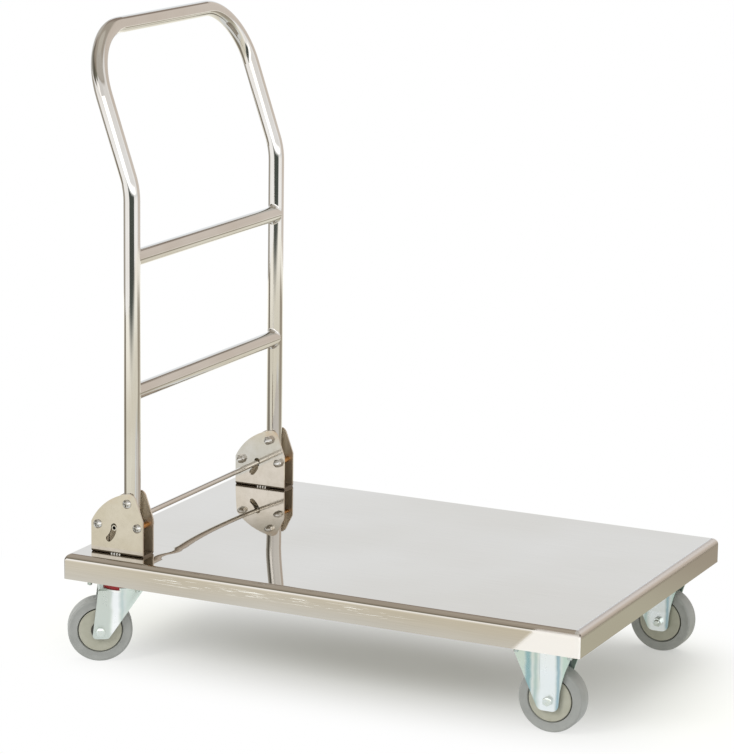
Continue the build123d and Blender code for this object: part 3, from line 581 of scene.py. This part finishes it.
finishes = {
    "deck": metal("polishedSheet304", deckSteel, sheetFinish),
    "polished_stainless": metal("polishedTube304", tubeSteel),
    "rung": metal("polishedRung304", rungSteel),
    "bracket": metal("polishedPlate304", bracketSteel, bracketFinish),
    "mill_stainless": metal("millFinish304", millSteel),
    "stainless_fastener": metal("stainlessScrew", screwSteel),
    "zinc_plated_steel": metal("blueZincPressing", zincPlate),
    "fixedFork": metal("fixedForkZincPaintedReflections", zincPlate,
                       paintedReflectionFinish("near_fixed_roll", Vector((1, 0, 0)), "fixed")),
    "zinc_fastener": metal("blueZincBolt", zincBolt),
    "turned_steel": metal("turnedSteel", turnedSteel),
    "spring_steel": metal("springSteel", springSteel),
    "bearing_steel": metal("bearingSteel", ballSteel),
    "brass": metal("brassSleeve", brassSleeve),
    "red_seal": moulded("redSealPlastic", sealPlastic),
    "grey_rubber": moulded("greyRubber", tyreRubber),
    "disc_plastic": moulded("discNylon", discNylon),
    # the rim's dark grey is painted shade for the groove
    "rim_plastic": moulded("rimNylonPaintedShade", rimNylonPaintedShade),
    "bush_nylon": moulded("bushNylon", bushNylon),
}
ownFinish = {"deck_pan": "deck", "near_bracket": "bracket", "far_bracket": "bracket",
             "upper_rung": "rung", "lower_rung": "rung", "release_rod": "rung",
             "near_fixed_fork": "fixedFork", "far_fixed_fork": "fixedFork"}
for side in ("near", "far"):
    axis = Vector(joints[side + "_swivel_roll"]["axis"])
    forward = axis.cross(Vector((0, 0, 1)))
    finishes[side + "Fork"] = metal(side + "SwivelForkZincPaintedReflections", zincPlate,
                                    paintedReflectionFinish(side + "_swivel_roll", forward, "swivel"))
    ownFinish[side + "_swivel_fork"] = side + "Fork"
for name, node in nodes.items():
    node.data.materials.clear()
    node.data.materials.append(finishes[ownFinish.get(name, slots[name])])
print("finishes set:", len(finishes))


def newPiece(name, mesh, body, slot, replaced=(), finish=None):
    mesh.materials.clear()
    mesh.materials.append(finishes[finish or slot])
    piece = bpy.data.objects.new(name, mesh)
    scene.collection.objects.link(piece)
    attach(piece, body)
    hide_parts(*replaced)


def mergedCopy(name):  # a CAD mesh is loose triangles
    bm = bmesh.new()
    bm.from_mesh(nodes[name].data)
    bmesh.ops.remove_doubles(bm, verts=bm.verts, dist=mergeMm * mm)
    return bm


def solidBoxes(name):  # the box of each solid of a node
    bm = mergedCopy(name)
    boxes, seen = [], set()
    for start in bm.verts:
        if start in seen:
            continue
        seen.add(start)
        island, edge = [start], [start]
        while edge:
            corner = edge.pop()
            for link in corner.link_edges:
                other = link.other_vert(corner)
                if other not in seen:
                    seen.add(other)
                    island.append(other)
                    edge.append(other)
        low = Vector([min(v.co[i] for v in island) for i in range(3)])
        high = Vector([max(v.co[i] for v in island) for i in range(3)])
        boxes.append((low, high))
    bm.free()
    return boxes


def smoothMesh(name, bm, sharpAngle):
    for face in bm.faces:
        face.smooth = True
    mesh = bpy.data.meshes.new(name)
    bm.to_mesh(mesh)
    bm.free()
    mesh.set_sharp_from_angle(angle=math.radians(sharpAngle))
    return mesh


def skinMesh(name, rings, closed=False, sharpAngle=32):  # over rings of points in mm
    bm = bmesh.new()
    loops = [[bm.verts.new(Vector(point) * mm) for point in ring] for ring in rings]
    pairs = list(zip(loops, loops[1:])) + ([(loops[-1], loops[0])] if closed else [])
    for lower, upper in pairs:
        for i in range(len(lower)):
            j = (i + 1) % len(lower)
            bm.faces.new((lower[i], lower[j], upper[j], upper[i]))
    if not closed:
        bm.faces.new(reversed(loops[0]))
        bm.faces.new(loops[-1])
    bmesh.ops.recalc_face_normals(bm, faces=bm.faces)
    return smoothMesh(name, bm, sharpAngle)


def circleRing(radius, height, count):
    turns = [2 * math.pi * i / count for i in range(count)]
    return [(radius * math.cos(t), radius * math.sin(t), height) for t in turns]


# the turned bevel of hex heads and nuts: its circle as a share of the flats, its slope in degrees
hexBevel = {"circle": 0.475, "slope": 30}


def bevelRing(flats, height, count):
    return circleRing(hexBevel["circle"] * flats, height, count)


def hexRing(flats, height, bevel, count):  # bevelled on top 1, below -1, square 0
    ring = []
    for i in range(count):
        t = 2 * math.pi * i / count
        radius = flats / 2 / math.cos((t + math.pi / 6) % (math.pi / 3) - math.pi / 6)
        drop = (radius - hexBevel["circle"] * flats) * math.tan(math.radians(hexBevel["slope"]))
        ring.append((radius * math.cos(t), radius * math.sin(t), height - bevel * drop))
    return ring


def threadRings(radius, pitch, depth, start, end, count, perTurn=6):
    rings = []
    steps = max(2, round((end - start) / pitch * perTurn))
    for k in range(steps + 1):
        z = start + (end - start) * k / steps
        ring = []
        for i in range(count):
            phase = (z / pitch - i / count) % 1
            r = radius - depth * abs(2 * phase - 1)
            t = 2 * math.pi * i / count
            ring.append((r * math.cos(t), r * math.sin(t), z))
        rings.append(ring)
    return rings


def startTree(name, inputs):
    tree = bpy.data.node_groups.new(name, "GeometryNodeTree")
    for label, kind in inputs:
        tree.interface.new_socket(label, in_out="INPUT", socket_type="NodeSocket" + kind)
    tree.interface.new_socket("Geometry", in_out="OUTPUT", socket_type="NodeSocketGeometry")
    return tree, addNode(tree, "NodeGroupInput").outputs


def endTree(tree, geometry, finish):
    real = addNode(tree, "GeometryNodeRealizeInstances", {"Geometry": geometry})
    done = addNode(tree, "GeometryNodeSetMaterial", {"Geometry": real, "Material": finish})
    addNode(tree, "NodeGroupOutput", {"Geometry": done})
    return tree


# one tree sets copies of a shape on points, each turned its own way
def buildScatterTree():
    tree, given = startTree("copiesOnPoints", [
        ("Geometry", "Geometry"), ("Shape", "Object"), ("Loose turn", "Float"), ("Seed", "Int"),
        ("Finish", "Material")])
    shape = addNode(tree, "GeometryNodeObjectInfo", {"Object": given["Shape"]})
    aim = addNode(tree, "GeometryNodeInputNamedAttribute", {"Name": "aim"}, data_type="FLOAT_VECTOR")
    turn = addNode(tree, "FunctionNodeEulerToRotation", {0: aim})
    copies = addNode(tree, "GeometryNodeInstanceOnPoints", {
        "Points": given["Geometry"], "Instance": shape.outputs["Geometry"], "Rotation": turn})
    chance = addNode(tree, "FunctionNodeRandomValue", {"Seed": given["Seed"]}, data_type="FLOAT")
    angle = addNode(tree, "ShaderNodeMath", {0: chance, 1: given["Loose turn"]}, operation="MULTIPLY")
    spin = addNode(tree, "ShaderNodeCombineXYZ", {2: angle})
    spinTurn = addNode(tree, "FunctionNodeEulerToRotation", {0: spin})
    turned = addNode(tree, "GeometryNodeRotateInstances", {
        "Instances": copies, "Rotation": spinTurn, "Local Space": True})
    return endTree(tree, turned, given["Finish"])


scatterTree = buildScatterTree()


def runTree(holder, tree, values):
    scene.collection.objects.link(holder)
    modifier = holder.modifiers.new("shape", "NODES")
    modifier.node_group = tree
    for socket in tree.interface.items_tree:
        if socket.in_out == "INPUT" and socket.name in values:
            modifier[socket.identifier] = values[socket.name]
    bpy.context.view_layer.update()
    result = holder.evaluated_get(bpy.context.evaluated_depsgraph_get())
    mesh = bpy.data.meshes.new_from_object(result)
    bpy.data.objects.remove(holder)
    return mesh


def scatter(name, shape, places, body, slot, replaced=(), finish=None, looseTurn=0.0, seed=1):
    points = bpy.data.meshes.new(name + "Points")
    points.from_pydata([place for place, aim in places], [], [])
    aims = points.attributes.new("aim", "FLOAT_VECTOR", "POINT")
    for i, (place, aim) in enumerate(places):
        aims.data[i].vector = Vector((0, 0, 1)).rotation_difference(Vector(aim)).to_euler()
    sample = bpy.data.objects.new(name + "Sample", shape)
    holder = bpy.data.objects.new(name + "Holder", points)
    mesh = runTree(holder, scatterTree, {
        "Shape": sample, "Loose turn": looseTurn, "Seed": seed, "Finish": finishes[finish or slot]})
    mesh.name = name
    bpy.data.objects.remove(sample)
    newPiece(name, mesh, body, slot, replaced, finish)


# pan head screws of the brackets, with a cross recess
screwShape = {"head": 14.0, "headHeight": 4.0, "edge": 1.3, "rim": 0.2, "shank": 8.0, "length": 40.5,
              "tip": 0.7, "slotHalf": 1.1, "slotFlare": 0.3, "slotWall": 0.4, "slotReach": 4.4,
              "slotEnd": 0.7, "recess": 3.0, "around": 72, "rings": 24, "middle": 0.35, "sharp": 40}


def panHeadScrew(s):
    n, half, shank = s["around"], s["head"] / 2, s["shank"] / 2
    dome = s["headHeight"] - s["edge"]
    crown = (half ** 2 + dome ** 2) / (2 * dome)
    rings = [circleRing(shank - s["tip"], -s["length"], n), circleRing(shank, -s["length"] + s["tip"], n),
             circleRing(shank, 0, n), circleRing(half - s["rim"], 0, n), circleRing(half, s["rim"], n),
             circleRing(half, s["edge"], n)]
    for k in range(1, s["rings"] + 1):
        r = half * (1 - k / (s["rings"] + s["middle"]))
        top = s["edge"] + math.sqrt(crown ** 2 - r ** 2) - (crown - dome)
        ring = []
        for i in range(n):
            t = 2 * math.pi * i / n
            x, y = r * math.cos(t), r * math.sin(t)
            thin, far = min(abs(x), abs(y)), max(abs(x), abs(y))
            across = min(1, max(0, (s["slotHalf"] + s["slotFlare"] - thin) / s["slotWall"]))
            along = min(1, max(0, (s["slotReach"] - far) / s["slotEnd"]))
            ring.append((x, y, top - s["recess"] * across * along))
        rings.append(ring)
    return skinMesh("panHeadScrew", rings, sharpAngle=s["sharp"])


screwPlaces = []
for low, high in solidBoxes("bracket_screws"):
    middle = (low + high) / 2
    outward = -1 if middle.y < 0 else 1
    seat = low.y + screwShape["headHeight"] * mm if outward < 0 else high.y - screwShape["headHeight"] * mm
    screwPlaces.append(((middle.x, seat, middle.z), (0, outward, 0)))
scatter("bracketScrews", panHeadScrew(screwShape), screwPlaces, "deck", "stainless_fastener",
        ["bracket_screws"], looseTurn=1.5, seed=3)

# dome nuts on the inner cheeks; foot and dome as shares of the flats
domeShape = {"flats": 13.0, "foot": 0.46, "hexHeight": 6.5, "dome": 0.455, "step": 0.3, "height": 13.0,
             "around": 36, "rings": 9}


def domeNut(s):
    n, f, h, step = s["around"], s["flats"], s["hexHeight"], s["step"]
    rings = [circleRing(s["foot"] * f, 0, n), hexRing(f, 0, -1, n), hexRing(f, h, 1, n), bevelRing(f, h, n)]
    reach = s["height"] - h
    for k in range(s["rings"]):
        t = math.pi / 2 * k / s["rings"]
        rings.append(circleRing(s["dome"] * f * math.cos(t), h + step + (reach - step) * math.sin(t), n))
    return skinMesh("domeNut", rings)


nutPlaces = []
for low, high in solidBoxes("bracket_nuts"):
    middle = (low + high) / 2
    inward = 1 if middle.y < 0 else -1
    nutPlaces.append(((middle.x, low.y if inward > 0 else high.y, middle.z), (0, inward, 0)))
scatter("domeNuts", domeNut(domeShape), nutPlaces, "deck", "stainless_fastener", ["bracket_nuts"],
        looseTurn=1.05, seed=5)

# hex bolts and nuts of the casters
boltShape = {"flats": 13.0, "head": 5.3, "washer": 0.25, "shank": 8.0, "pitch": 1.25, "depth": 0.65,
             "threaded": 13.0, "threadFrom": 0.7, "runOut": 0.6, "tip": 1.1, "tipShoulder": 0.6, "around": 36}
nutShape = {"flats": 13.0, "height": 6.5, "hole": 8.04, "countersink": 0.5, "around": 36}


def hexBolt(s, length, threaded):
    n, r, f = s["around"], s["shank"] / 2, s["flats"]
    rings = [circleRing(r - s["tip"], -length, n),
             circleRing(r - s["tipShoulder"], -length + s["tipShoulder"], n)]
    rings += threadRings(r, s["pitch"], s["depth"], -length + s["threadFrom"], -length + threaded, n)
    rings += [circleRing(r, -length + threaded + s["runOut"], n), circleRing(r, 0, n), bevelRing(f, 0, n),
              bevelRing(f, s["washer"], n), hexRing(f, s["washer"], 0, n), hexRing(f, s["head"], 1, n),
              bevelRing(f, s["head"], n)]
    return skinMesh("hexBolt", rings)


def hexNut(s):
    n, f, h, r, sunk = s["around"], s["flats"], s["height"], s["hole"] / 2, s["countersink"]
    rings = [circleRing(r, sunk, n), circleRing(r + sunk, 0, n), bevelRing(f, 0, n), hexRing(f, 0, -1, n),
             hexRing(f, h, 1, n), bevelRing(f, h, n), circleRing(r + sunk, h, n), circleRing(r, h - sunk, n)]
    return skinMesh("hexNut", rings, closed=True)


boltBoxes = solidBoxes("caster_bolts")
boltLength = (boltBoxes[0][1].z - boltBoxes[0][0].z) / mm - boltShape["head"]
boltPlaces = [(((low.x + high.x) / 2, (low.y + high.y) / 2, high.z - boltShape["head"] * mm), (0, 0, 1))
              for low, high in boltBoxes]
scatter("casterBolts", hexBolt(boltShape, boltLength, boltShape["threaded"]), boltPlaces, "deck",
        "zinc_fastener", ["caster_bolts"])
plateNutPlaces = [(((low.x + high.x) / 2, (low.y + high.y) / 2, low.z), (0, 0, 1))
                  for low, high in solidBoxes("caster_nuts")]
scatter("casterNuts", hexNut(nutShape), plateNutPlaces, "deck", "zinc_fastener", ["caster_nuts"],
        looseTurn=1.05, seed=7)

# axle bolts with their nuts: heads to the outside
axleShape = {"headSeat": 21.0, "reach": 51.25, "threaded": 14.0}
axleBolt = hexBolt(boltShape, axleShape["reach"], axleShape["threaded"])
axleNut = hexNut(nutShape)
axleSets = {
    "deck": (["near_fixed_roll", "far_fixed_roll"], ["fixed_axles"], ["fixed_axle_nuts"]),
    "near_swivel": (["near_swivel_roll"], ["near_swivel_axle"], ["near_swivel_axle_nut"]),
    "far_swivel": (["far_swivel_roll"], ["far_swivel_axle"], ["far_swivel_axle_nut"]),
}
for body, (rolls, axles, nuts) in axleSets.items():
    heads, ends = [], []
    for roll in rolls:
        outward = Vector(joints[roll]["axis"]) * (-1 if roll.startswith("near") else 1)
        middle = Vector(joints[roll]["pos_m"])
        heads.append((middle + outward * axleShape["headSeat"] * mm, outward))
        ends.append((middle - outward * axleShape["headSeat"] * mm, -outward))
    scatter(body + "AxleBolts", axleBolt.copy(), heads, body, "zinc_fastener", axles)
    scatter(body + "AxleNuts", axleNut.copy(), ends, body, "zinc_fastener", nuts, looseTurn=1.05, seed=11)
print("fasteners made")

# tyres: moulded rings with a parting line, square shoulders and an open lip at the rim
tyreShape = {"radius": 49.99, "width": 29.0, "shoulder": 3.2, "shoulderSteps": 8, "bore": 34.02,
             "lipDepth": 4.5, "lipReach": 1.7, "lipStep": 0.5, "lipShare": 0.6, "lipEdge": (0.25, 0.35),
             "lipTop": (0.1, 1.0), "dish": 0.3, "dishEdge": 2.0, "dishTop": 0.8, "line": 0.15,
             "lineWidths": (1.2, 0.5, 0.28), "around": 128}


def tyreMesh(s):
    half, top, shoulder, bore = s["width"] / 2, s["radius"] - s["line"], s["shoulder"], s["bore"]
    lip, dished, wall = bore + s["lipReach"], half - s["dish"], top - shoulder
    edgeIn, edgeDown = s["lipEdge"]
    topFrom, topTo = s["lipTop"]
    side = [(bore, half - s["lipDepth"]), (bore + s["lipStep"], half - s["lipDepth"] * s["lipShare"]),
            (lip - edgeIn, half - edgeDown), (lip + topFrom, half), (lip + topTo, half),
            (lip + s["dishEdge"], dished), (wall - s["dishEdge"], dished), (wall - s["dishTop"], half)]
    for k in range(s["shoulderSteps"] + 1):
        t = math.pi / 2 * k / s["shoulderSteps"]
        side.append((top - shoulder * (1 - math.sin(t)), half - shoulder * (1 - math.cos(t))))
    outer, inner, crest = s["lineWidths"]
    right = side + [(top, outer), (top, inner), (s["radius"], crest)]
    profile = right + [(r, -w) for r, w in reversed(right)]
    rings = [circleRing(r, w, s["around"]) for r, w in profile]
    return skinMesh("tyre", rings, closed=True)


tyre = tyreMesh(tyreShape)
for wheel in ("near_swivel", "far_swivel", "near_fixed", "far_fixed"):
    roll = joints[wheel + "_roll"]
    turn = Vector((0, 0, 1)).rotation_difference(Vector(roll["axis"])).to_matrix().to_4x4()
    mesh = tyre.copy()
    mesh.transform(Matrix.Translation(roll["pos_m"]) @ turn)
    newPiece(wheel + "Tyre", mesh, wheel + "_wheel", "grey_rubber", [wheel + "_tyre"])
print("tyres made")

# rolled lip round the crown of each swivel fork, open to the rear; it hides most of the red seal
lipShape = {"inner": 31.35, "outer": 32.8, "height": 4.0, "sink": 0.3, "round": 0.5, "openFrom": -60.0,
            "openTo": 78.0, "steps": 48}


def crownLip(side, s):
    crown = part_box(side + "_swivel_fork")[1].z / mm
    pin = Vector(joints[side + "_swivel_turn"]["pos_m"]) / mm
    rear = Vector(joints[side + "_swivel_roll"]["pos_m"]) / mm - pin
    start = math.atan2(rear.y, rear.x) + math.radians(s["openTo"])
    sweep = math.radians(360 - s["openTo"] + s["openFrom"])
    low, high = crown - s["sink"], crown + s["height"]
    inner, outer, rounded = s["inner"], s["outer"], s["round"]
    section = [(inner, low), (outer, low), (outer, high - rounded), (outer - rounded, high),
               (inner + rounded, high), (inner, high - rounded)]
    rings = []
    for k in range(s["steps"] + 1):
        t = start + sweep * k / s["steps"]
        rings.append([(pin.x + r * math.cos(t), pin.y + r * math.sin(t), z) for r, z in section])
    return skinMesh(side + "CrownLip", rings)


for side in ("near", "far"):
    newPiece(side + "CrownLip", crownLip(side, lipShape), side + "_swivel", "zinc_plated_steel",
             finish=side + "Fork")
print("crown lips made")

# torsion springs of the release, each copied from its half of the CAD mesh and left where it stands: the foot on
# its bracket, the tail at the rod
springShape = {"wire": 1.6, "sharp": 40}


def returnSpring(name, inward, s):
    bm = mergedCopy("return_springs")
    other = [v for v in bm.verts if v.co.y * inward > 0]
    bmesh.ops.delete(bm, geom=other, context="VERTS")
    mesh = smoothMesh(name, bm, s["sharp"])
    mesh.materials.clear()
    mesh.materials.append(finishes["spring_steel"])
    spring = bpy.data.objects.new(name, mesh)
    scene.collection.objects.link(spring)
    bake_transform(spring)
    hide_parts("return_springs")


returnSpring("nearReturnSpring", 1, springShape)
returnSpring("farReturnSpring", -1, springShape)
print("springs made")

# weld beads along the bracket feet
beadShape = {"count": 4, "pitch": 4.6, "length": 3.8, "width": 5.0, "height": 5.0,
             "fromBack": {"near": 42.5, "far": 48.5}, "inset": 1.0, "lift": 0.6, "segments": 20, "rings": 12,
             "smallest": (0.88, 0.88, 0.85), "largest": (1.08, 1.05, 1.08), "seed": 4}


def buildBeadTree(s):
    tree, given = startTree("weldBeads", [
        ("Geometry", "Geometry"), ("Bead size", "Vector"), ("Seed", "Int"), ("Finish", "Material")])
    ball = addNode(tree, "GeometryNodeMeshUVSphere", {
        "Segments": s["segments"], "Rings": s["rings"], "Radius": 0.5})  # 1 across, for the size to scale
    smooth = addNode(tree, "GeometryNodeSetShadeSmooth", {"Geometry": ball})
    vary = addNode(tree, "FunctionNodeRandomValue", {
        0: s["smallest"], 1: s["largest"], "Seed": given["Seed"]}, data_type="FLOAT_VECTOR")
    size = addNode(tree, "ShaderNodeVectorMath", {0: given["Bead size"], 1: vary}, operation="MULTIPLY")
    beads = addNode(tree, "GeometryNodeInstanceOnPoints", {
        "Points": given["Geometry"], "Instance": smooth, "Scale": size})
    return endTree(tree, beads, given["Finish"])


def weldBeads(s):
    places = []
    for side, fromBack in s["fromBack"].items():
        low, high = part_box(side + "_bracket")
        for y in (low.y + s["inset"] * mm, high.y - s["inset"] * mm):
            for k in range(s["count"]):
                x = low.x + (fromBack + (k - (s["count"] - 1) / 2) * s["pitch"]) * mm
                places.append((x, y, low.z + s["lift"] * mm))
    points = bpy.data.meshes.new("beadPoints")
    points.from_pydata(places, [], [])
    holder = bpy.data.objects.new("beadHolder", points)
    size = Vector((s["length"], s["width"], s["height"])) * mm
    finish = finishes["stainless_fastener"]
    mesh = runTree(holder, buildBeadTree(s), {"Bead size": size, "Seed": s["seed"], "Finish": finish})
    mesh.name = "bracketWelds"
    newPiece("bracketWelds", mesh, "deck", "stainless_fastener")


weldBeads(beadShape)

# ground welds where the rungs meet the legs: a hollow collar, full above and below, thin at the sides
collarShape = {"rung": 12.5, "leg": 12.7, "full": 5.0, "thin": 0.15, "sink": 0.8, "around": 72, "steps": 8,
               "sharp": 50}


def weldCollar(s):
    turns = [2 * math.pi * i / s["around"] for i in range(s["around"])]
    spread = [s["thin"] + (s["full"] - s["thin"]) * math.sin(t) ** 2 for t in turns]
    bends = [math.pi / 2 * k / s["steps"] for k in range(s["steps"] + 1)]
    section = [(1 - math.cos(b), 1 - math.sin(b), 0, 0) for b in bends]  # shares of the spread, then mm
    section += [(1, 0, 0, -s["sink"]), (0, 0, -s["sink"], -s["sink"]), (0, 1, -s["sink"], 0)]
    rings = []
    for out, along, outMm, alongMm in section:
        ring = []
        for t, f in zip(turns, spread):
            r = s["rung"] + out * f + outMm
            x, y = r * math.cos(t), r * math.sin(t)
            face = math.sqrt(max(0, s["leg"] ** 2 - x ** 2))
            ring.append((x, y, face + along * f + alongMm))
        rings.append(ring)
    return skinMesh("weldCollar", rings, closed=True, sharpAngle=s["sharp"])


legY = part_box("handle_tube")[1].y - collarShape["leg"] * mm
collarPlaces = []
for rung in ("lower_rung", "upper_rung"):
    low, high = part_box(rung)
    middle = (low + high) / 2
    collarPlaces += [((middle.x, side * legY, middle.z), (0, -side, 0)) for side in (-1, 1)]
scatter("rungWelds", weldCollar(collarShape), collarPlaces, "handle", "polished_stainless", finish="rung")
print("welds made")
